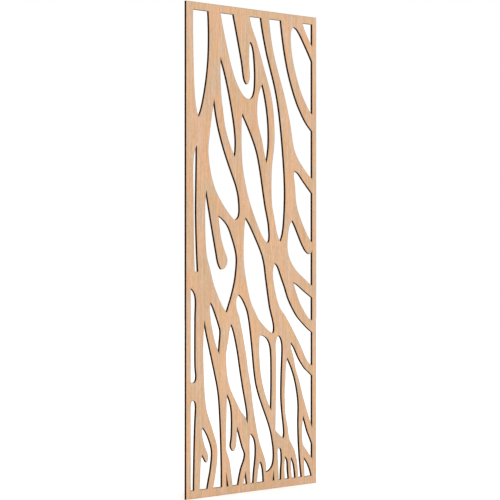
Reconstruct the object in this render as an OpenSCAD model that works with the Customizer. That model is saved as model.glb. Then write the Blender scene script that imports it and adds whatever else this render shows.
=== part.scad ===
// Fretwork panel: a sheet of veneered plywood, cut right through in a pattern of long, bark-like
// openings that leave a narrow border all round.
// Width runs along X, thickness along Y with the front towards -Y, and height along +Z. The
// origin is at the middle of the lower edge.

/* [Panel] */
// Overall width of the panel
panel_w = 450; // [240:10:900]
// Overall height of the panel
panel_h = 1200; // [600:10:2400]

/* [Border] */
// Width of the uncut border at each side
stile_w = 15; // [8:1:40]
// Height of the uncut border along the top
top_rail = 19; // [8:1:60]
// Height of the uncut border along the bottom
bottom_rail = 20; // [8:1:60]

/* [Plies] */
// Thickness of the face veneer, front and back
veneer_t = 0.6; // [0.4:0.1:1.5]
// Thickness of each crossband, the ply under a face veneer
crossband_t = 1.5; // [0.8:0.1:4]
// Thickness of the core ply
core_t = 1.8; // [0.8:0.1:6]

/* [Curves] */
// Largest turn from one straight step of a curved cut to the next, in degrees
curve_turn = 16; // [8:1:24]
// Largest gap between a curved cut and its straight steps
curve_gap = 0.3; // [0.1:0.1:1]

/* [Hidden] */

// Overall thickness, and where each ply starts, counted from the front face
panel_t = 2 * veneer_t + 2 * crossband_t + core_t;
front_crossband_y = veneer_t;
core_y = front_crossband_y + crossband_t;
back_crossband_y = core_y + core_t;
back_veneer_y = back_crossband_y + crossband_t;

// The pattern, drawn for a sheet of 450 by 1200 from its lower left corner. Each opening is one
// closed curve through a few points, taken clockwise. The curve runs smoothly through a point of
// two numbers, and has a corner at a point that is marked sharp. Two sharp points in a row are
// joined by a straight cut, as along the border.
sharp = true;
openings = [
    // Tall leaf in the top left corner
    [[23, 1181, sharp], [73, 1181, sharp], [72, 1050], [52, 948], [41, 923, sharp], [31, 955],
     [23, 1100]],
    // Hook round a hanging tongue
    [[113, 1181, sharp], [157, 1181, sharp], [178, 1100], [187, 1062], [193, 1028],
     [198, 1017], [204, 1012], [212, 1026], [210, 1070], [214, 1118], [223, 1107], [231, 1052],
     [231, 1015], [228, 993], [220, 979], [207, 976], [190, 984], [160, 1028], [127, 1126]],
    // Leaf below the first strut
    [[113, 1072, sharp], [136, 1010], [164, 880], [161, 830, sharp], [140, 871], [128, 905],
     [121, 945], [115, 985]],
    // Broad leaf that leans to the right
    [[92, 969, sharp], [105, 906], [126, 846], [144, 806], [173, 740], [175, 684], [163, 675],
     [149, 683], [94, 752], [73, 835], [76, 875]],
    // Narrow slot beside the left border
    [[34, 852], [35, 828], [33, 690], [39, 548, sharp], [28, 548, sharp], [26, 600], [24, 720],
     [25, 825]],
    // Two arms round a foot-shaped tongue
    [[66, 746, sharp], [100, 592], [107, 566], [117, 553], [131, 560], [136, 577], [128, 596],
     [117, 623], [111, 650], [106, 684, sharp], [136, 662], [155, 626], [168, 585], [166, 546],
     [159, 512], [134, 447, sharp], [120, 462], [91, 515], [77, 558], [67, 590], [62, 690]],
    // Long leaf in the middle
    [[187, 939, sharp], [199, 920], [221, 882], [239, 842], [253, 785], [264, 728], [269, 705],
     [279, 666], [281, 626], [276, 619], [263, 626], [215, 713], [192, 786], [186, 825],
     [184, 906]],
    // Leaf between the long leaf and the long band
    [[256, 1016, sharp], [266, 985], [277, 925], [278, 858], [270, 819, sharp], [262, 846],
     [254, 878], [243, 909], [238, 945], [242, 985]],
    // Long band from the top border
    [[212, 1181, sharp], [252, 1181, sharp], [257, 1155], [274, 1091], [301, 1013], [317, 945],
     [336, 780], [336, 705], [329, 643], [320, 622, sharp], [309, 639], [297, 686], [290, 715],
     [289, 800], [299, 880], [290, 978], [264, 1051], [232, 1130], [219, 1156]],
    // Band from the top border to the right border
    [[280, 1181, sharp], [322, 1181, sharp], [347, 1058], [376, 984], [392, 956], [412, 928],
     [435, 906, sharp], [435, 784, sharp], [418, 796], [381, 836], [368, 862], [354, 925],
     [334, 992], [306, 1066], [292, 1110]],
    // Half leaf against the right border, near the top
    [[368, 1168, sharp], [381, 1162], [408, 1127], [435, 1085, sharp], [435, 949, sharp],
     [420, 964], [391, 1011], [361, 1100], [359, 1158]],
    // Small triangle in the top right corner
    [[400, 1181, sharp], [435, 1181, sharp], [435, 1124, sharp], [408, 1163]],
    // Half leaf against the right border, above the middle
    [[370, 802, sharp], [384, 796], [400, 780], [435, 746, sharp], [435, 620, sharp],
     [420, 635], [380, 709], [372, 765], [368, 790]],
    // Half leaf against the right border, with a lobe at its top right
    [[364, 675, sharp], [373, 661], [410, 600], [427, 590], [435, 600, sharp],
     [435, 509, sharp], [422, 516], [409, 525], [377, 548], [355, 575], [345, 606],
     [354, 665]],
    // Wide leaf in the middle of the sheet
    [[198, 681, sharp], [210, 667], [225, 644], [257, 587], [266, 555], [270, 530], [281, 470],
     [284, 456], [298, 406], [295, 391, sharp], [280, 397], [242, 429], [230, 447], [215, 473],
     [193, 562], [192, 635]],
    // Long half leaf that runs down to the right border
    [[299, 567, sharp], [309, 561], [325, 530], [337, 505], [348, 479], [366, 450], [385, 427],
     [405, 410], [419, 399], [435, 389, sharp], [435, 304, sharp], [419, 314], [389, 362],
     [373, 385], [342, 428], [316, 457], [297, 512], [293, 545]],
    // Wedge against the right border
    [[366, 518, sharp], [382, 511], [405, 496], [435, 478, sharp], [435, 420, sharp],
     [420, 427], [403, 447], [390, 465]],
    // Upper slot along the left border
    [[15, 508, sharp], [30, 491], [31, 430], [31, 370], [31, 320], [33, 289], [28, 281],
     [15, 282, sharp]],
    // Lower slot along the left border
    [[15, 210, sharp], [20, 236], [30, 233], [30, 175], [28, 120], [27, 70], [26, 20, sharp],
     [15, 20, sharp]],
    // Small leaf beside the upper slot
    [[80, 473, sharp], [88, 462], [109, 415], [113, 402], [111, 375], [108, 347, sharp],
     [97, 371], [88, 399], [77, 455]],
    // Long blade down to the bottom border
    [[60, 429, sharp], [66, 402], [78, 360], [95, 300], [107, 250], [115, 150],
     [118, 20, sharp], [88, 20, sharp], [103, 105], [99, 130], [75, 190], [65, 220],
     [56, 350]],
    // Bent leaf left of the middle
    [[149, 418, sharp], [158, 400], [173, 345], [180, 308], [191, 255], [204, 197],
     [204, 170, sharp], [196, 187], [183, 200], [168, 222], [140, 274], [132, 345], [139, 378],
     [142, 397]],
    // Longest blade, from the middle almost to the bottom
    [[175, 490, sharp], [187, 480], [200, 460], [208, 441], [219, 378], [235, 268], [253, 220],
     [271, 182], [287, 143], [297, 82], [290, 55], [269, 43, sharp], [267, 70], [257, 94],
     [243, 129], [222, 220], [216, 262], [206, 305], [201, 335], [189, 388], [182, 415],
     [176, 435], [167, 456], [167, 480]],
    // Arched leaf right of the longest blade
    [[247, 387, sharp], [271, 380], [283, 363], [288, 330], [288, 230], [287, 197, sharp],
     [253, 280]],
    // Upright opening with a lobe at its foot
    [[313, 384], [320, 380], [327, 363], [327, 325], [325, 288], [324, 225], [328, 185],
     [334, 138], [331, 124, sharp], [316, 134], [302, 146, sharp], [304, 250], [304, 335],
     [303, 360], [307, 377]],
    // Half leaf against the right border, below the middle
    [[357, 365, sharp], [368, 354], [387, 323], [410, 296], [421, 288], [435, 277, sharp],
     [435, 143, sharp], [399, 232], [390, 260], [373, 303], [367, 328], [358, 352]],
    // Blade down to the bottom border, at the right
    [[345, 327, sharp], [368, 284], [381, 240], [386, 202], [385, 162], [388, 95],
     [397, 20, sharp], [383, 20, sharp], [380, 58], [369, 93], [353, 118], [345, 155],
     [338, 185], [336, 215], [335, 237], [338, 275], [339, 300]],
    // Half leaf against the right border, near the bottom
    [[402, 176, sharp], [410, 157], [418, 135], [427, 118], [435, 102, sharp],
     [435, 64, sharp], [423, 77], [411, 91], [401, 104]],
    // Fin in the bottom right corner
    [[405, 69, sharp], [422, 47], [433, 20, sharp], [407, 20, sharp]],
    // Row of slots along the bottom border, from right to left
    [[358, 74, sharp], [367, 58], [371, 42], [374, 20, sharp], [361, 20, sharp], [358, 48]],
    [[337, 77, sharp], [345, 66], [347, 45], [350, 20, sharp], [336, 20, sharp], [334, 50]],
    [[312, 99], [321, 98], [325, 72], [323, 45], [322, 20, sharp], [314, 20, sharp],
     [312, 55]],
    [[295, 45, sharp], [298, 20, sharp], [292, 20, sharp]],
    [[249, 71, sharp], [255, 62], [261, 20, sharp], [237, 20, sharp], [244, 60]],
    [[215, 143], [225, 135], [232, 119], [233, 88], [228, 50], [225, 20, sharp],
     [215, 20, sharp], [212, 95], [212, 128]],
    [[198, 51, sharp], [203, 20, sharp], [189, 20, sharp], [194, 34]],
    [[132, 54, sharp], [139, 20, sharp], [133, 20, sharp]],
    // Two arms round a straight tongue, down to the bottom border
    [[135, 246, sharp], [146, 225], [151, 202], [151, 140], [148, 116], [157, 105], [165, 117],
     [167, 138], [170, 164, sharp], [178, 141], [188, 112], [196, 94], [192, 77], [184, 61],
     [173, 20, sharp], [153, 20, sharp], [141, 88], [133, 107], [133, 200]],
    // Round-backed opening with a finger, in the bottom left corner
    [[54, 170, sharp], [64, 159], [76, 138], [85, 110], [80, 62], [75, 42], [70, 20, sharp],
     [44, 20, sharp], [46, 60], [48, 88], [52, 104, sharp], [59, 94], [67, 84], [72, 96],
     [69, 108], [62, 121], [52, 155]],
];

// The drawing's outermost points lie on the border's inner lines. It is stretched to keep them
// there, whatever the size of the sheet and its border.
drawn_x = [for (o = openings) for (p = o) p.x];
drawn_z = [for (o = openings) for (p = o) p.y];
stretch_x = (panel_w - 2 * stile_w) / (max(drawn_x) - min(drawn_x));
stretch_z = (panel_h - top_rail - bottom_rail) / (max(drawn_z) - min(drawn_z));

// A drawn point, stretched to this sheet
function placed(p) = [
    stile_w + (p.x - min(drawn_x)) * stretch_x - panel_w / 2,
    bottom_rail + (p.y - min(drawn_z)) * stretch_z
];

// True at a corner
function is_sharp(p) = len(p) > 2;

// Share of a curve that one stretch takes: the root of its length keeps a curve free of loops
function pace(a, b) = sqrt(norm(b - a));

// Slope of the curve at b, for the stretch from b to c, when it comes from a
function slope_out(a, b, c) =
    let (p = pace(a, b), q = pace(b, c))
    q * ((b - a) / p - (c - a) / (p + q)) + (c - b);

// Angle between two directions, in degrees
function turn(u, v) =
    norm(u) * norm(v) == 0 ? 0 : acos(max(-1, min(1, u * v / (norm(u) * norm(v)))));

// Point at share t of a stretch from b to c that leaves b along m and reaches c along n
function on_stretch(b, c, m, n, t) =
    (2 * t ^ 3 - 3 * t ^ 2 + 1) * b + (t ^ 3 - 2 * t ^ 2 + t) * m
    + (3 * t ^ 2 - 2 * t ^ 3) * c + (t ^ 3 - t ^ 2) * n;

// Number of straight steps for a stretch. A step of an arc stands off by its length times its
// turn in radians, over 8, and both shrink as the steps grow in number.
function steps_for(bend, length) =
    max(1, ceil(bend / curve_turn), ceil(sqrt(length * bend * PI / 180 / (8 * curve_gap))));

// Points of the stretch that starts at point i of an opening, without its last one. At a corner
// the slope makes the stretch a part of a parabola, and between two corners it is straight.
function stretch_points(o, i) =
    let (
        count = len(o),
        before = o[(i + count - 1) % count],
        start = o[i],
        stop = o[(i + 1) % count],
        after = o[(i + 2) % count],
        a = placed(before),
        b = placed(start),
        c = placed(stop),
        d = placed(after),
        m_smooth = slope_out(a, b, c),
        n_smooth = -slope_out(d, c, b),
        m = !is_sharp(start) ? m_smooth : is_sharp(stop) ? c - b : 2 * (c - b) - n_smooth,
        n = !is_sharp(stop) ? n_smooth : is_sharp(start) ? c - b : 2 * (c - b) - m_smooth,
        steps = steps_for(turn(m, c - b) + turn(c - b, n), norm(c - b))
    )
    [for (k = [0:steps - 1]) on_stretch(b, c, m, n, k / steps)];

// Whole outline of an opening
function opening_points(o) = [for (i = [0:len(o) - 1]) each stretch_points(o, i)];

// The sheet's outline with every opening cut out
module fretwork() {
    difference() {
        translate([-panel_w / 2, 0]) square([panel_w, panel_h]);
        for (o = openings) polygon(opening_points(o));
    }
}

// One ply, standing upright, from depth y behind the front face
module ply(y, thickness) {
    translate([0, y + thickness - panel_t / 2, 0])
        rotate([90, 0, 0])
            linear_extrude(thickness) fretwork();
}

module front_veneer() {
    color("#e0b891") ply(0, veneer_t);
}

module front_crossband() {
    color("#c79a6b") ply(front_crossband_y, crossband_t);
}

module core() {
    color("#b98a5c") ply(core_y, core_t);
}

module back_crossband() {
    color("#c79a6b") ply(back_crossband_y, crossband_t);
}

module back_veneer() {
    color("#dcb28a") ply(back_veneer_y, veneer_t);
}

front_veneer();
front_crossband();
core();
back_crossband();
back_veneer();
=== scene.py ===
from math import radians

import bpy
import numpy as np
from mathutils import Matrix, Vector
from mathutils.geometry import delaunay_2d_cdt


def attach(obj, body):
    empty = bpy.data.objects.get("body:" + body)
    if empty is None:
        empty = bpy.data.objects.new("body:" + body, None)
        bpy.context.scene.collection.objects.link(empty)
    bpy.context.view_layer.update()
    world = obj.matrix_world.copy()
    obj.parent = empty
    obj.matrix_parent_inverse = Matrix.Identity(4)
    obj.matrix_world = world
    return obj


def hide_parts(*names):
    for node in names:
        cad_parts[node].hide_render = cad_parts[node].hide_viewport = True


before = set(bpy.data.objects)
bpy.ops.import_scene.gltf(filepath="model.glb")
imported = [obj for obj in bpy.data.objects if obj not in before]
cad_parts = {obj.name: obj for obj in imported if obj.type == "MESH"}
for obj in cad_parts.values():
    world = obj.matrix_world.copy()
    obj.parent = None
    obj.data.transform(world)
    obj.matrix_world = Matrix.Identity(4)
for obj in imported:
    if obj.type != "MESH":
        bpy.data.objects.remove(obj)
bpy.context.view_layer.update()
print("frame loaded:", ", ".join(sorted(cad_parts)))


# The cuts, as closed lines in the sheet's own plane
cuts = {
    "corner": 52,         # a turn above this, in degrees, is a corner
    "borderCorner": 20,   # the same beside a side that runs upright or level, as a border does
    "openCorner": 40,     # the same between two sides that are longer than openSide
    "openSide": 2.5,
    "step": 4.0,          # longest step along a cut
    "turn": 5,            # largest turn from one step to the next, in degrees
    "miter": 2.5,         # longest reach of an offset corner, in offsets
    "crease": 45,         # a wall's shading breaks at an edge above this, in degrees
}


def turnBetween(u, v):
    # signed angle from direction u to direction v, by the arc tangent of cross and dot product
    return np.arctan2(u[:, 0] * v[:, 1] - u[:, 1] * v[:, 0], (u * v).sum(1))


def sheetOutline(node):
    # Outline of a ply's front face. The triangles of the face are merged at their corners. A
    # side that only one triangle has belongs to the outline, and runs with the wood on its left.
    # The sides are put in order by doubling: each corner looks twice as far ahead every round, so
    # 16 rounds are enough for a loop of 65,536 corners.
    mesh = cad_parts[node].data
    mesh.calc_loop_triangles()
    co = np.empty(len(mesh.vertices) * 3, np.float32)
    mesh.vertices.foreach_get("co", co)
    tri = np.empty(len(mesh.loop_triangles) * 3, np.int32)
    mesh.loop_triangles.foreach_get("vertices", tri)
    keys = np.round(co.reshape(-1, 3).astype(float) * 1e6).astype(np.int64)
    corners, merged = np.unique(keys, axis=0, return_inverse=True)
    tri = merged.reshape(-1)[tri].reshape(-1, 3)
    front = corners[:, 1].min()
    tri = tri[(corners[tri, 1] == front).all(1)]
    a, b = tri.ravel(), np.roll(tri, -1, axis=1).ravel()
    count = len(corners)
    isOutline = ~np.isin(a * count + b, b * count + a)
    a, b = a[isOutline], b[isOutline]
    ahead = np.full(count, -1)
    ahead[a] = b
    a = np.sort(a)
    ahead = np.searchsorted(a, ahead[a])
    doublings = 16
    label, jump = np.arange(len(a)), ahead.copy()
    for _ in range(doublings):
        label = np.minimum(label, label[jump])
        jump = jump[jump]
    first = label == np.arange(len(a))
    jump, left = np.where(first, np.arange(len(a)), ahead), np.where(first, 0, 1)
    for _ in range(doublings):
        left = left + left[jump]
        jump = jump[jump]
    order = np.lexsort((np.where(first, -len(a), -left), label))
    starts = np.flatnonzero(np.diff(label[order])) + 1
    points = corners[a[order]][:, [0, 2]] / 1000
    return np.split(points, starts)


def findCorners(p):
    # True where the outline is taken to have a corner, going by its turn alone. The turn that makes
    # one is smaller beside an upright or level side, and between long sides, because a smooth cut
    # mostly has short sides at a tight turn. A very tight turn of a smooth cut counts as a corner.
    before, after = p - np.roll(p, 1, 0), np.roll(p, -1, 0) - p
    turn = np.degrees(np.abs(turnBetween(before, after)))
    straight = (np.abs(before) < 1e-3).any(1) | (np.abs(after) < 1e-3).any(1)
    side = np.minimum(np.linalg.norm(before, axis=1), np.linalg.norm(after, axis=1))
    return ((turn > cuts["corner"]) | (straight & (turn > cuts["borderCorner"]))
            | ((side > cuts["openSide"]) & (turn > cuts["openCorner"])))


def smoothCut(p):
    # A smooth closed line through the outline's points, with the found corners kept. Each
    # stretch is a cubic whose slopes weigh the neighbours by the root of their distance. Next to
    # a corner it is a parabola, and between two corners it is straight.
    a, b, c, d = np.roll(p, 1, 0), p, np.roll(p, -1, 0), np.roll(p, -2, 0)
    sharpB = findCorners(p)
    sharpC = np.roll(sharpB, -1)
    r, s, t = (np.sqrt(np.linalg.norm(v, axis=1, keepdims=True)) for v in (b - a, c - b, d - c))
    m = s * ((b - a) / r - (c - a) / (r + s)) + (c - b)
    n = s * ((d - c) / t - (d - b) / (s + t)) + (c - b)
    out = np.where(sharpB[:, None], 2 * (c - b) - n, m)
    into = np.where(sharpC[:, None], 2 * (c - b) - m, n)
    both = (sharpB & sharpC)[:, None]
    out, into = np.where(both, c - b, out), np.where(both, c - b, into)
    bend = np.abs(turnBetween(out, c - b)) + np.abs(turnBetween(c - b, into))
    steps = np.ceil(np.maximum(s[:, 0] ** 2 / cuts["step"], bend / radians(cuts["turn"])))
    steps = np.maximum(steps, 1).astype(int)
    i = np.repeat(np.arange(len(p)), steps)
    start = np.cumsum(steps) - steps
    t = ((np.arange(steps.sum()) - start[i]) / steps[i])[:, None]
    line = ((2 * t ** 3 - 3 * t ** 2 + 1) * b[i] + (t ** 3 - 2 * t ** 2 + t) * out[i]
            + (3 * t ** 2 - 2 * t ** 3) * c[i] + (t ** 3 - t ** 2) * into[i])
    return line, sharpB[i] & (t[:, 0] == 0)


def offsetWays(line):
    # For each point, the way into the wood, the length of a mitred offset of 1, and the turn. The
    # way halves the angle between the normals of the two sides that meet at the point.
    e = np.roll(line, -1, 0) - line
    e = e / np.linalg.norm(e, axis=1, keepdims=True)
    normal = np.stack([-e[:, 1], e[:, 0]], 1)
    before = np.roll(normal, 1, 0)
    way = normal + before
    way = way / np.maximum(np.linalg.norm(way, axis=1, keepdims=True), 1e-6)
    reach = np.minimum(1 / np.maximum((way * normal).sum(1), 1e-3), cuts["miter"])
    return way, reach, turnBetween(before, normal)


loops = [smoothCut(p) for p in sheetOutline("front_veneer")]
line = np.vstack([q for q, _ in loops])
isCorner = np.concatenate([k for _, k in loops])
ways, reach, turns = (np.concatenate(v) for v in zip(*[offsetWays(q) for q, _ in loops]))
sizes = np.array([len(q) for q, _ in loops])
firsts = np.repeat(np.cumsum(sizes) - sizes, sizes)
ahead = firsts + (np.arange(len(line)) - firsts + 1) % np.repeat(sizes, sizes)
stepLength = np.linalg.norm(line[ahead] - line, axis=1)
run = np.concatenate([np.cumsum(v) - v for v in np.split(stepLength, np.cumsum(sizes)[:-1])])
along = (line[ahead] - line) / stepLength[:, None]
print("cut lines:", len(loops), "loops,", len(line), "points,",
      round(stepLength.sum() / 1000, 1), "m")


# The face between the cuts: rows of points beside every cut, then an even lattice further in
face = {
    "rows": (0.8, 2.0, 3.8),   # distance of each row from the cut
    "fan": (0.12, 0.37, 0.63, 0.88),   # ways round the end of an opening, as shares of its turn
    "lattice": 8,              # spacing of the lattice
    "clear": 5.5,              # its least distance from a cut
    "apart": 0.3,              # points in one square of this size are one point
    "tip": 25,                 # a turn above this, in degrees, at the end of an opening gets a fan
    "slack": 0.97,             # share of a row's distance that its points keep from every cut
}


def inWood(points, edge, band=20):
    # True where a level line to the right of a point crosses the closed lines of edge an odd
    # number of times. The sheet is gone through in level bands.
    a, b = edge, edge[ahead]
    low, high = np.minimum(a[:, 1], b[:, 1]), np.maximum(a[:, 1], b[:, 1])
    crossings = np.zeros(len(points), int)
    for z in np.arange(points[:, 1].min(), points[:, 1].max() + band, band):
        here = np.flatnonzero((points[:, 1] >= z) & (points[:, 1] < z + band))
        near = np.flatnonzero((high > z) & (low < z + band) & (high > low))
        p, q, r = points[here][:, None], a[near], b[near]
        spans = (q[:, 1] > p[..., 1]) != (r[:, 1] > p[..., 1])
        cross = q[:, 0] + (p[..., 1] - q[:, 1]) / (r[:, 1] - q[:, 1]) * (r[:, 0] - q[:, 0])
        crossings[here] = (spans & (cross > p[..., 0])).sum(1)
    return crossings % 2 == 1


def gapToCut(points, most=8, band=20):
    # Distance of each point from the nearest cut, up to most. The nearest place on a side is at
    # the share (point - start) . side / side . side, kept from 0 to 1.
    low, high = np.minimum(line[:, 1], line[ahead, 1]), np.maximum(line[:, 1], line[ahead, 1])
    gap = np.full(len(points), float(most))
    for z in np.arange(points[:, 1].min(), points[:, 1].max() + band, band):
        here = np.flatnonzero((points[:, 1] >= z) & (points[:, 1] < z + band))
        near = np.flatnonzero((high > z - most) & (low < z + band + most))
        p, q, side = points[here][:, None], line[near], (line[ahead] - line)[near]
        share = np.clip(((p - q) * side).sum(2) / (side * side).sum(1), 0, 1)[..., None]
        gap[here] = np.linalg.norm(p - q - share * side, axis=2).min(1, initial=most)
    return gap


def facePoints():
    # Rows at line + way * distance, mitred where the wood ends in a point. Round the end of an
    # opening they fan out, from the normal of one side to the normal of the next.
    rows = np.array(face["rows"])
    stretch = np.where(turns > 0, reach, 1)[:, None]
    beside = [line + ways * stretch * d for d in rows]
    tips = np.flatnonzero(isCorner & (turns < -radians(face["tip"])))
    start = np.arctan2(ways[tips, 1], ways[tips, 0]) - turns[tips] / 2
    angle = start + np.array(face["fan"])[:, None] * turns[tips]
    fan = np.stack([np.cos(angle), np.sin(angle)], 2)
    fans = [(line[tips] + fan * d).reshape(-1, 2) for d in rows]
    nominal = [np.full(len(v), d) for v, d in zip(beside + fans, np.tile(rows, 2))]
    points, nominal = np.vstack(beside + fans), np.concatenate(nominal)
    distance = gapToCut(points)
    kept = inWood(points, line) & (distance > face["slack"] * nominal)
    points, distance = points[kept], distance[kept]

    pitch, (left, low), (right, top) = face["lattice"], line.min(0), line.max(0)
    k, m = np.meshgrid(np.arange((right - left) // pitch + 1), np.arange((top - low) // pitch + 1))
    grid = np.stack([left + (k + m % 2 / 2) * pitch, low + m * pitch], 2).reshape(-1, 2)
    gap = gapToCut(grid)
    kept = inWood(grid, line) & (gap > face["clear"])
    points, distance = np.vstack([points, grid[kept]]), np.concatenate([distance, gap[kept]])
    _, single = np.unique(np.round(points / face["apart"]), axis=0, return_index=True)
    return points[single], distance[single]


def triangulate(edge, more):
    # Triangles that fill the wood between the closed lines of edge, through the points of more.
    # Every triangle runs anticlockwise as seen from the front.
    points = np.vstack([edge, more]) if len(more) else edge
    sides = np.stack([np.arange(len(edge)), ahead], 1)
    made = delaunay_2d_cdt(points.tolist(), sides.tolist(), [], 1, 1e-6)
    source = np.array(made[3]).reshape(len(made[0]), -1)[:, 0]
    tri = source[np.array(made[2])]
    tri = tri[inWood(points[tri].mean(1), edge)]
    u, v = points[tri[:, 1]] - points[tri[:, 0]], points[tri[:, 2]] - points[tri[:, 0]]
    area = (u[:, 0] * v[:, 1] - u[:, 1] * v[:, 0]) / 2
    tri[area < 0] = tri[area < 0][:, ::-1]
    return tri, np.abs(area).sum() / 1e6


inner, innerGap = facePoints()
arris, glueGroove = 0.15, 0.05   # how far a face's edge and a glue line stand back from the cut
faceTri, faceArea = triangulate(line + ways * (reach * arris)[:, None], inner)
gluedTri, gluedArea = triangulate(line + ways * (reach * glueGroove)[:, None], inner[:0])
print("face:", len(faceTri), "triangles,", round(faceArea, 5), "m2; glued side:",
      len(gluedTri), "triangles,", round(gluedArea, 5), "m2")


def plySheet(name, node, ply, faceLook, cutLook):
    # One ply as a closed sheet. Its cut walls are the profile carried along every cut: point i of
    # row k is line + way * inset of k, at depth y of k. The first and last row are closed by the
    # triangles of a face or of a glued side. The attribute cutGap is the distance to the cut in
    # mm, and acrossGrain is the share of the cut that runs across this ply's own grain.
    rows, count = ply["profile"], len(line)
    walls = [np.column_stack([line[:, 0] + ways[:, 0] * reach * inset, np.full(count, float(y)),
                              line[:, 1] + ways[:, 1] * reach * inset]) for inset, y in rows]
    points, gaps, tris = list(walls), [np.zeros(count * len(rows))], []
    for end, y, flip in ((ply["front"], rows[0][1], False), (ply["back"], rows[-1][1], True)):
        tri = faceTri if end == "face" else gluedTri
        own = np.where(tri < count, tri + (count * (len(rows) - 1) if flip else 0),
                       tri - count + sum(len(v) for v in points))
        tris.append(own[:, ::-1] if flip else own)
        if end == "face":
            depth = np.full(len(inner), float(y))
            points.append(np.column_stack([inner[:, 0], depth, inner[:, 1]]))
            gaps.append(innerGap)
    points, gaps, tris = np.vstack(points) / 1000, np.concatenate(gaps), np.vstack(tris)

    i = np.arange(count)
    quads = np.concatenate([np.stack([k * count + i, (k + 1) * count + i, (k + 1) * count + ahead,
                                      k * count + ahead], 1) for k in range(len(rows) - 1)])
    wall = np.tile(i, len(rows) - 1)
    startRun, endRun = run[wall] / 1000, (run + stepLength)[wall] / 1000
    quadUv = np.stack([np.stack([startRun, startRun, endRun, endRun], 1), points[quads, 1]], 2)
    triUv = points[tris][..., [0, 2]]

    mesh = bpy.data.meshes.new(name)
    mesh.vertices.add(len(points))
    mesh.vertices.foreach_set("co", points.ravel())
    corners = np.concatenate([tris.ravel(), quads.ravel()])
    mesh.loops.add(len(corners))
    mesh.loops.foreach_set("vertex_index", corners.astype(np.int32))
    size = np.concatenate([np.full(len(tris), 3), np.full(len(quads), 4)])
    mesh.polygons.add(len(size))
    mesh.polygons.foreach_set("loop_start", (np.cumsum(size) - size).astype(np.int32))
    isWall = (size == 4).astype(np.int32)
    mesh.polygons.foreach_set("material_index", isWall)
    mesh.update(calc_edges=True)
    mesh.polygons.foreach_set("use_smooth", isWall.astype(bool))
    mesh.set_sharp_from_angle(angle=radians(cuts["crease"]))
    uv = mesh.uv_layers.new(name="cutUv")
    uv.data.foreach_set("uv", np.concatenate([triUv.ravel(), quadUv.ravel()]).astype(np.float32))
    gap = mesh.attributes.new("cutGap", "FLOAT", "POINT")
    gap.data.foreach_set("value", gaps.astype(np.float32))
    across = np.abs(along[:, 0 if ply["grain"] == "up" else 1])
    shares = np.zeros(len(points))
    shares[:count * len(rows)] = np.tile(across, len(rows))
    acrossGrain = mesh.attributes.new("acrossGrain", "FLOAT", "POINT")
    acrossGrain.data.foreach_set("value", shares.astype(np.float32))
    mesh.materials.append(faceLook)
    mesh.materials.append(cutLook)
    if mesh.validate():
        print("  mended by validate:", name)

    sheet = bpy.data.objects.new(name, mesh)
    bpy.context.scene.collection.objects.link(sheet)
    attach(sheet, "root")
    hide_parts(node)
    print("made", name + ":", len(tris) + 2 * len(quads), "triangles")
    return sheet


# Looks: small helpers that add a node, fill its sockets and link it
def put(socket, value):
    if isinstance(value, bpy.types.NodeSocket):
        socket.id_data.links.new(value, socket)
    else:
        socket.default_value = value


def addNode(tree, kind, sockets, **settings):
    # sockets holds a value or an output for each input, by its name or number
    made = tree.nodes.new(kind)
    for key, value in settings.items():
        setattr(made, key, value)
    for key, value in sockets.items():
        put(made.inputs[key], value)
    return made


def compute(tree, operation, a, b=0.0):
    return addNode(tree, "ShaderNodeMath", {0: a, 1: b}, operation=operation).outputs[0]


def spread(tree, value, low, high, to=(0.0, 1.0), smooth=True):
    # value carried from low..high to the range of to, held at its ends
    kind = "SMOOTHSTEP" if smooth else "LINEAR"
    made = addNode(tree, "ShaderNodeMapRange", {"Value": value, "From Min": low, "From Max": high,
                                               "To Min": to[0], "To Max": to[1]},
                   interpolation_type=kind)
    return made.outputs[0]


def streaks(tree, place, scale, shift, detail=2.0, rough=0.5):
    # noise drawn out along one way by different scales for x, y and z
    mapped = addNode(tree, "ShaderNodeMapping", {"Vector": place, "Scale": scale,
                                                 "Location": shift})
    made = addNode(tree, "ShaderNodeTexNoise", {"Vector": mapped.outputs[0], "Scale": 1.0,
                                               "Detail": detail, "Roughness": rough})
    return made.outputs[0]


def blend(tree, share, a, b, mode="MIX"):
    made = addNode(tree, "ShaderNodeMix", {0: share, 6: a, 7: b}, data_type="RGBA", blend_type=mode)
    return made.outputs[2]


def newLook(name, roughness, specular):
    made = bpy.data.materials.new(name)
    made.use_nodes = True
    shader = made.node_tree.nodes["Principled BSDF"]
    shader.inputs["Specular IOR Level"].default_value = specular
    shader.inputs["Roughness"].default_value = roughness
    return made, made.node_tree, shader


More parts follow.
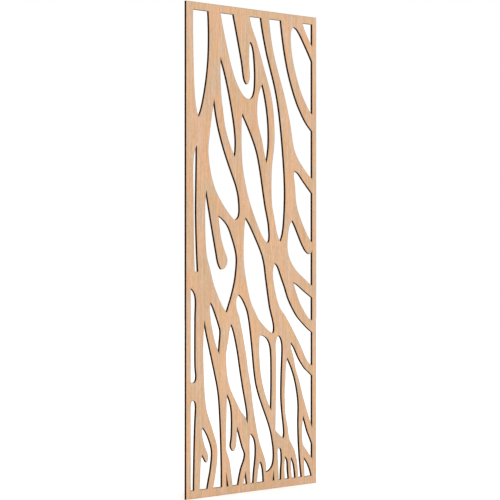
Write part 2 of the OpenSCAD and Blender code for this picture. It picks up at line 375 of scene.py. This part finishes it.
def woodFace(name, look):
    # A sanded veneer face. Every layer is a noise drawn out along the grain, on a place that
    # wanders a little from side to side: broad bands from a warm to a pale tone, a red blush,
    # clouds, streaks and fibres. Short dark flecks lie along the grain, and a scorch follows the
    # cuts.
    material, tree, shader = newLook(name, 0.6, 0.35)
    place = addNode(tree, "ShaderNodeTexCoord", {}).outputs["Object"]
    if look["grain"] == "across":
        turned = addNode(tree, "ShaderNodeMapping", {"Vector": place,
                                                     "Rotation": (0, radians(90), 0)})
        place = turned.outputs[0]
    drift = streaks(tree, place, (7, 1, 1.6), look["shift"], 1.5)
    apart = addNode(tree, "ShaderNodeSeparateXYZ", {0: place})
    wander = compute(tree, "MULTIPLY", compute(tree, "SUBTRACT", drift, 0.5), look["wander"] / 1000)
    x = compute(tree, "ADD", apart.outputs[0], wander)
    place = addNode(tree, "ShaderNodeCombineXYZ", {0: x, 1: apart.outputs[1], 2: apart.outputs[2]})
    place = place.outputs[0]

    # each pair of sizes is the width and the length of a layer's marks, in mm
    def layer(key, detail, rough=0.5):
        wide, long = look[key]
        return streaks(tree, place, (1000 / wide, 1, 1000 / long), look["shift"], detail, rough)

    band, blush, cloud = layer("band", 2.0, 0.55), layer("blush", 1.5), layer("cloud", 1.0)
    streak, fibre = layer("streak", 2.5, 0.55), layer("fibre", 3.0, 0.6)
    wide, long = look["fleck"]
    cells = addNode(tree, "ShaderNodeMapping", {"Vector": place, "Location": look["shift"],
                                               "Scale": (1000 / wide, 40, 1000 / long)})
    cell = addNode(tree, "ShaderNodeTexVoronoi", {"Vector": cells.outputs[0], "Scale": 1.0})
    fleck = spread(tree, cell.outputs["Distance"], 0.10, 0.24, (1.0, 0.0))

    tone = blend(tree, spread(tree, band, 0.34, 0.66), look["warm"] + (1,), look["pale"] + (1,))
    tint = blend(tree, spread(tree, blush, 0.34, 0.66), look["lessRed"] + (1,),
                 look["moreRed"] + (1,))
    tone = blend(tree, 1.0, tone, tint, "MULTIPLY")
    light = None
    for noise, depth in ((streak, "streakDepth"), (fibre, "fibreDepth"), (cloud, "cloudDepth")):
        part = spread(tree, noise, 0.3, 0.7, (1 - look[depth], 1 + look[depth]), False)
        light = part if light is None else compute(tree, "MULTIPLY", light, part)
    light = compute(tree, "MULTIPLY", light,
                    spread(tree, fleck, 0, 1, (1.0, 1 - look["fleckDepth"]), False))
    grey = addNode(tree, "ShaderNodeCombineColor", {0: light, 1: light, 2: light}).outputs[0]
    tone = blend(tree, 1.0, tone, grey, "MULTIPLY")

    gap = addNode(tree, "ShaderNodeAttribute", {}, attribute_name="cutGap").outputs["Fac"]
    ragged = compute(tree, "ADD", gap, spread(tree, fibre, 0.2, 0.8, (-0.35, 0.35), False))
    near = spread(tree, ragged, 0, look["scorchWidth"], (1.0, 0.0), False)
    scorch = compute(tree, "MULTIPLY", compute(tree, "POWER", near, 2.0), look["scorch"])
    tone = blend(tree, scorch, tone, look["scorchTone"] + (1,))
    put(shader.inputs["Base Color"], tone)
    put(shader.inputs["Roughness"], spread(tree, fibre, 0.25, 0.75, (0.52, 0.70), False))
    height = compute(tree, "SUBTRACT", fibre, compute(tree, "MULTIPLY", fleck, 0.5))
    bump = addNode(tree, "ShaderNodeBump", {"Height": height, "Strength": look["bump"],
                                            "Distance": 0.0001})
    put(shader.inputs["Normal"], bump.outputs[0])
    return material


# What the walls of all plies share: the colour of burnt glue, how far it reaches from its line,
# and where the brown of the outer edge starts and is full, counted from the middle of the sheet
char = {
    "glueTone": (0.008, 0.003, 0.001),
    "glueReach": (0.04, 0.16),
    "edge": (2.6, 3.0),
}


def charredCut(name, look):
    # A wall left by the laser: nearly black brown, with fine upright marks of the pulses across
    # the thickness, darker where it crosses the grain, and black at the glue lines. The wall's own
    # map gives the way along the cut as u and the depth through the sheet as v.
    material, tree, shader = newLook(name, 0.75, 0.0)
    where = addNode(tree, "ShaderNodeUVMap", {}, uv_map="cutUv").outputs[0]
    pulses = streaks(tree, where, (1000 / look["pulse"], 90, 1), look["shift"], 3.0, 0.6)
    patches = streaks(tree, where, (1000 / look["patch"], 160, 1), look["shift"], 2.0)
    across = addNode(tree, "ShaderNodeAttribute", {}, attribute_name="acrossGrain").outputs["Fac"]
    share = compute(tree, "MULTIPLY", spread(tree, pulses, 0.32, 0.68),
                    spread(tree, patches, 0.3, 0.7, (0.55, 1.0), False))
    endGrain = spread(tree, across, 0.1, 0.9, (1.0, look["endGrain"]))
    share = compute(tree, "MULTIPLY", share, endGrain)
    tone = blend(tree, share, look["black"] + (1,), look["brown"] + (1,))

    depth = compute(tree, "ABSOLUTE", addNode(tree, "ShaderNodeSeparateXYZ", {0: where}).outputs[1])
    near = None
    for glue in look["glue"]:
        off = compute(tree, "ABSOLUTE", compute(tree, "SUBTRACT", depth, glue / 1000))
        near = off if near is None else compute(tree, "MINIMUM", near, off)
    start, stop = (v / 1000 for v in char["glueReach"])
    tone = blend(tree, spread(tree, near, start, stop, (0.8, 0.0)), tone, char["glueTone"] + (1,))
    if look["facing"]:
        start, stop = (v / 1000 for v in char["edge"])
        outer = spread(tree, depth, start, stop, (0.0, look["facing"]))
        tone = blend(tree, outer, tone, look["edgeBrown"] + (1,))
    put(shader.inputs["Base Color"], tone)
    put(shader.inputs["Roughness"], spread(tree, pulses, 0.3, 0.7, (0.85, 0.6), False))
    bump = addNode(tree, "ShaderNodeBump", {"Height": pulses, "Strength": 0.6, "Distance": 0.00015})
    put(shader.inputs["Normal"], bump.outputs[0])
    return material


frontVeneer = {
    "profile": ((arris, -3.0), (0.045, -2.955), (0, -2.85), (0, -2.46), (glueGroove, -2.4)),
    "front": "face", "back": "glued", "grain": "up", "shift": (3.1, 0.4, 7.7), "wander": 7,
    "band": (12, 60), "blush": (17, 100), "cloud": (110, 380), "streak": (1.8, 80),
    "fibre": (0.9, 11), "fleck": (2.0, 8),
    "warm": (0.617, 0.368, 0.199), "pale": (0.592, 0.389, 0.252),
    "lessRed": (0.960, 1.0, 1.0), "moreRed": (1.040, 1.0, 1.0),
    "streakDepth": 0.13, "fibreDepth": 0.17, "cloudDepth": 0.03, "fleckDepth": 0.24, "bump": 0.35,
    "scorch": 0.75, "scorchWidth": 2.6, "scorchTone": (0.31, 0.19, 0.13),
}
veneerCut = {
    "pulse": 0.45, "patch": 7, "shift": (1.3, 5.1, 0), "glue": (2.4,), "facing": 0.5,
    "endGrain": 0.6, "black": (0.012, 0.0038, 0.0009), "brown": (0.046, 0.016, 0.0045),
    "edgeBrown": (0.085, 0.034, 0.012),
}
veneerFaceLook = woodFace("sanded beech veneer", frontVeneer)
veneerCutLook = charredCut("charred veneer edge", veneerCut)
plySheet("frontVeneerSheet", "front_veneer", frontVeneer, veneerFaceLook, veneerCutLook)

frontCrossband = {
    "profile": ((glueGroove, -2.4), (0, -2.34), (0, -0.96), (glueGroove, -0.9)),
    "front": "glued", "back": "glued", "grain": "across", "shift": (8.3, 2.2, 1.9), "wander": 12,
    "band": (22, 300), "blush": (30, 400), "cloud": (120, 500), "streak": (4, 150),
    "fibre": (1.1, 40), "fleck": (4, 20),
    "warm": (0.56, 0.335, 0.180), "pale": (0.57, 0.365, 0.220),
    "lessRed": (0.95, 1.0, 1.0), "moreRed": (1.05, 1.0, 1.0),
    "streakDepth": 0.1, "fibreDepth": 0.1, "cloudDepth": 0.05, "fleckDepth": 0.15, "bump": 0.6,
    "scorch": 0.8, "scorchWidth": 2.0, "scorchTone": (0.12, 0.06, 0.03),
}
crossbandCut = {
    "pulse": 0.5, "patch": 9, "shift": (4.7, 2.3, 0), "glue": (0.9, 2.4), "facing": 0,
    "endGrain": 0.55, "black": (0.011, 0.0035, 0.0008), "brown": (0.040, 0.014, 0.0038),
}
crossbandFaceLook = woodFace("raw crossband", frontCrossband)
crossbandCutLook = charredCut("charred crossband edge", crossbandCut)
plySheet("frontCrossbandSheet", "front_crossband", frontCrossband,
         crossbandFaceLook, crossbandCutLook)

corePly = {
    "profile": ((glueGroove, -0.9), (0, -0.84), (0, 0.84), (glueGroove, 0.9)),
    "front": "glued", "back": "glued", "grain": "up", "shift": (5.9, 6.6, 3.3), "wander": 14,
    "band": (26, 300), "blush": (34, 400), "cloud": (140, 500), "streak": (5, 150),
    "fibre": (1.2, 40), "fleck": (4, 20),
    "warm": (0.50, 0.295, 0.150), "pale": (0.51, 0.320, 0.180),
    "lessRed": (0.95, 1.0, 1.0), "moreRed": (1.05, 1.0, 1.0),
    "streakDepth": 0.1, "fibreDepth": 0.1, "cloudDepth": 0.05, "fleckDepth": 0.15, "bump": 0.6,
    "scorch": 0.8, "scorchWidth": 2.0, "scorchTone": (0.12, 0.06, 0.03),
}
coreCut = {
    "pulse": 0.5, "patch": 8, "shift": (7.9, 8.8, 0), "glue": (0.9,), "facing": 0,
    "endGrain": 0.55, "black": (0.012, 0.0038, 0.0009), "brown": (0.044, 0.0155, 0.0042),
}
coreFaceLook = woodFace("raw core", corePly)
coreCutLook = charredCut("charred core edge", coreCut)
plySheet("coreSheet", "core", corePly, coreFaceLook, coreCutLook)

backCrossband = {
    "profile": ((glueGroove, 0.9), (0, 0.96), (0, 2.34), (glueGroove, 2.4)),
    "front": "glued", "back": "glued", "grain": "across",
}
plySheet("backCrossbandSheet", "back_crossband", backCrossband,
         crossbandFaceLook, crossbandCutLook)

backVeneer = {
    "profile": ((glueGroove, 2.4), (0, 2.46), (0, 2.85), (0.045, 2.955), (arris, 3.0)),
    "front": "glued", "back": "face", "grain": "up", "shift": (11.7, 3.5, 2.6), "wander": 9,
    "band": (17, 120), "blush": (22, 180), "cloud": (120, 380), "streak": (2.8, 80),
    "fibre": (0.8, 22), "fleck": (2.2, 14),
    "warm": (0.600, 0.362, 0.204), "pale": (0.602, 0.400, 0.258),
    "lessRed": (0.955, 1.0, 1.0), "moreRed": (1.045, 1.0, 1.0),
    "streakDepth": 0.10, "fibreDepth": 0.08, "cloudDepth": 0.04, "fleckDepth": 0.18, "bump": 0.35,
    "scorch": 0.75, "scorchWidth": 2.6, "scorchTone": (0.31, 0.19, 0.13),
}
backFaceLook = woodFace("sanded beech veneer, back", backVeneer)
plySheet("backVeneerSheet", "back_veneer", backVeneer, backFaceLook, veneerCutLook)
print("five plies made")


# Surroundings: a pale floor, an even white surround, a broad light from above that leans to the
# front, and a weak soft lamp in front at the left
studio = {
    "floorSize": 16, "floorTone": (0.95, 0.955, 0.955), "surround": 1.0,
    "over": (0.95, 50, 16),                  # strength, width and tilt to the front in degrees
    "overPlace": (0, -2, 3),                 # only for the eye, as a sun's place changes nothing
    "key": (1.6, 3, (-2.4, -2.6, 1.9)),      # size in m, watts, place
    "keyAim": (0, 0, 0.6),
}
half = studio["floorSize"] / 2
floorMesh = bpy.data.meshes.new("floor")
floorCorners = [(-half, -half, 0), (half, -half, 0), (half, half, 0), (-half, half, 0)]
floorMesh.from_pydata(floorCorners, [], [(0, 1, 2, 3)])
floor = bpy.data.objects.new("floor", floorMesh)
bpy.context.scene.collection.objects.link(floor)
floorLook, floorTree, floorShader = newLook("pale floor", 0.9, 0.2)
put(floorShader.inputs["Base Color"], studio["floorTone"] + (1,))
floorMesh.materials.append(floorLook)

surround = bpy.data.worlds.new("white surround")
surround.use_nodes = True
surround.node_tree.nodes["Background"].inputs["Color"].default_value = (1, 1, 1, 1)
surround.node_tree.nodes["Background"].inputs["Strength"].default_value = studio["surround"]
bpy.context.scene.world = surround

over = bpy.data.lights.new("light from above", "SUN")
over.energy, over.angle = studio["over"][0], radians(studio["over"][1])
overLamp = bpy.data.objects.new("light from above", over)
overLamp.location = studio["overPlace"]
overLamp.rotation_euler = (radians(studio["over"][2]), 0, 0)
bpy.context.scene.collection.objects.link(overLamp)

size, watts, place = studio["key"]
key = bpy.data.lights.new("soft lamp at the left", "AREA")
key.shape, key.size, key.energy = "DISK", size, watts
keyLamp = bpy.data.objects.new("soft lamp at the left", key)
keyLamp.location = place
aim = Vector(studio["keyAim"]) - Vector(place)
keyLamp.rotation_euler = aim.to_track_quat("-Z", "Y").to_euler()
bpy.context.scene.collection.objects.link(keyLamp)

# Camera: level with the panel's middle and about 44 degrees round to its left, as fitted to the
# photograph
view = {
    "place": (-3.0236, -3.1325, 0.5999), "turn": -43.899,   # m, and degrees
    "sensor": 36, "lens": 125.731,                          # mm
    "rise": 0.00048,                                        # the lens's upward shift, in frames
    "clip": (0.05, 60),
}
eye = bpy.data.cameras.new("camera")
eye.sensor_width, eye.lens, eye.shift_y = view["sensor"], view["lens"], view["rise"]
eye.clip_start, eye.clip_end = view["clip"]
camera = bpy.data.objects.new("camera", eye)
camera.location = view["place"]
camera.rotation_euler = (radians(90), 0, radians(view["turn"]))
bpy.context.scene.collection.objects.link(camera)
bpy.context.scene.camera = camera
bpy.context.scene.view_settings.view_transform = "Standard"   # white stays white
print("light and camera set")
